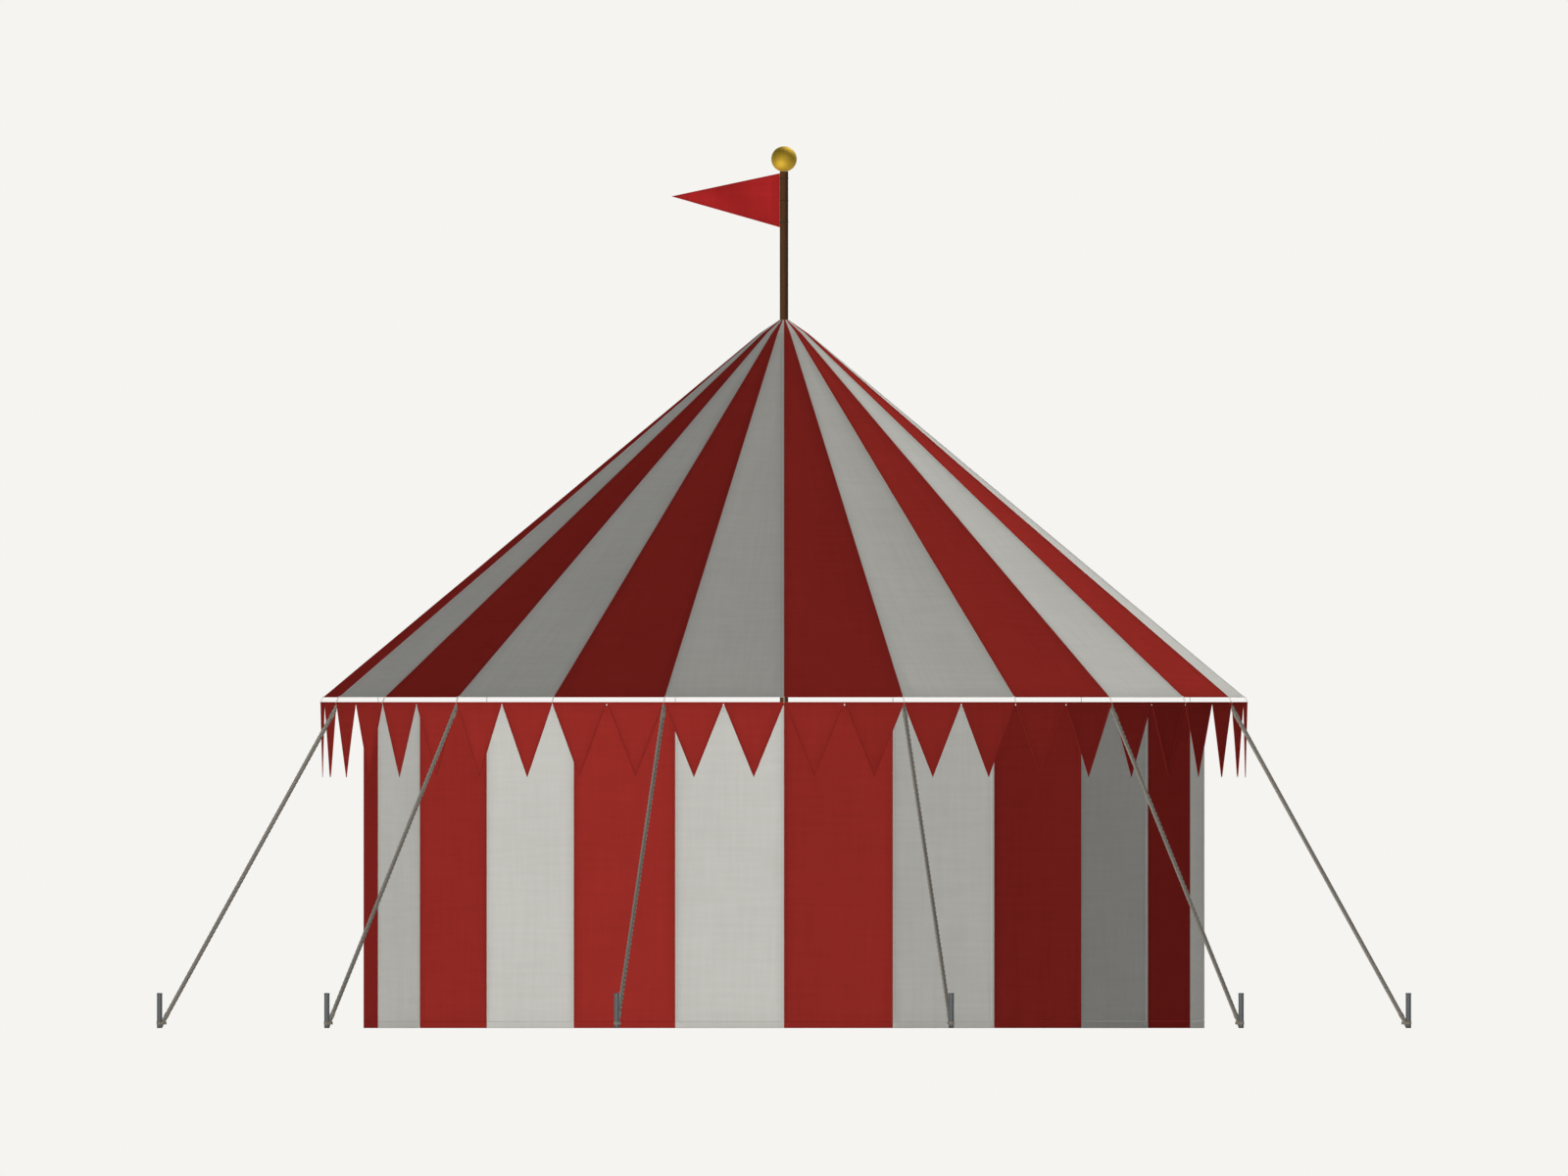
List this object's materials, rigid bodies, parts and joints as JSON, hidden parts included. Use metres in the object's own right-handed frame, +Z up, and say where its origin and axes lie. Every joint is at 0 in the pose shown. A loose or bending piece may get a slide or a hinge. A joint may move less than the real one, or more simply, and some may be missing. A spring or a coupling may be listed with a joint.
{
  "type": "medieval pavilion tent",
  "caption": "Round striped canvas pavilion on one centre pole, with a dagged valance, rope guys on stakes, a gilded ball and a pennon.",
  "frame": {"origin": "foot of the centre pole, on the ground", "axes": "+Z up along the pole, -Y towards the front, +X to the right seen from the front"},
  "size_m": [7.4578, 7.4578, 5.2438],
  "materials": {
    "striped_canvas": "plain-weave canvas in madder-red and undyed stripes, one stripe to each flat panel",
    "red_canvas": "plain-weave canvas dyed madder red",
    "pennon_cloth": "light wool bunting dyed red",
    "pole_wood": "dark oiled ash",
    "gilding": "gold leaf on turned wood",
    "hemp": "three-strand laid hemp rope, weathered grey",
    "steel": "round bar, dull grey"
  },
  "bodies": {
    "root": {"centre_pole": "pole_wood", "finial_ball": "gilding", "pennon": "pennon_cloth", "valance": "red_canvas", "roof_section_01": "striped_canvas", "roof_section_02": "striped_canvas", "roof_section_03": "striped_canvas", "roof_section_04": "striped_canvas", "roof_section_05": "striped_canvas", "roof_section_06": "striped_canvas", "roof_section_07": "striped_canvas", "roof_section_08": "striped_canvas", "roof_section_09": "striped_canvas", "roof_section_10": "striped_canvas", "roof_section_11": "striped_canvas", "roof_section_12": "striped_canvas", "wall_section_01": "striped_canvas", "wall_section_02": "striped_canvas", "wall_section_03": "striped_canvas", "wall_section_04": "striped_canvas", "wall_section_05": "striped_canvas", "wall_section_06": "striped_canvas", "wall_section_07": "striped_canvas", "wall_section_08": "striped_canvas", "wall_section_09": "striped_canvas", "wall_section_10": "striped_canvas", "wall_section_11": "striped_canvas", "wall_section_12": "striped_canvas", "guy_rope_01": "hemp", "guy_rope_02": "hemp", "guy_rope_03": "hemp", "guy_rope_04": "hemp", "guy_rope_05": "hemp", "guy_rope_06": "hemp", "guy_rope_07": "hemp", "guy_rope_08": "hemp", "guy_rope_09": "hemp", "guy_rope_10": "hemp", "guy_rope_11": "hemp", "guy_rope_12": "hemp", "stake_01": "steel", "stake_02": "steel", "stake_03": "steel", "stake_04": "steel", "stake_05": "steel", "stake_06": "steel", "stake_07": "steel", "stake_08": "steel", "stake_09": "steel", "stake_10": "steel", "stake_11": "steel", "stake_12": "steel"}
  },
  "joints": []
}
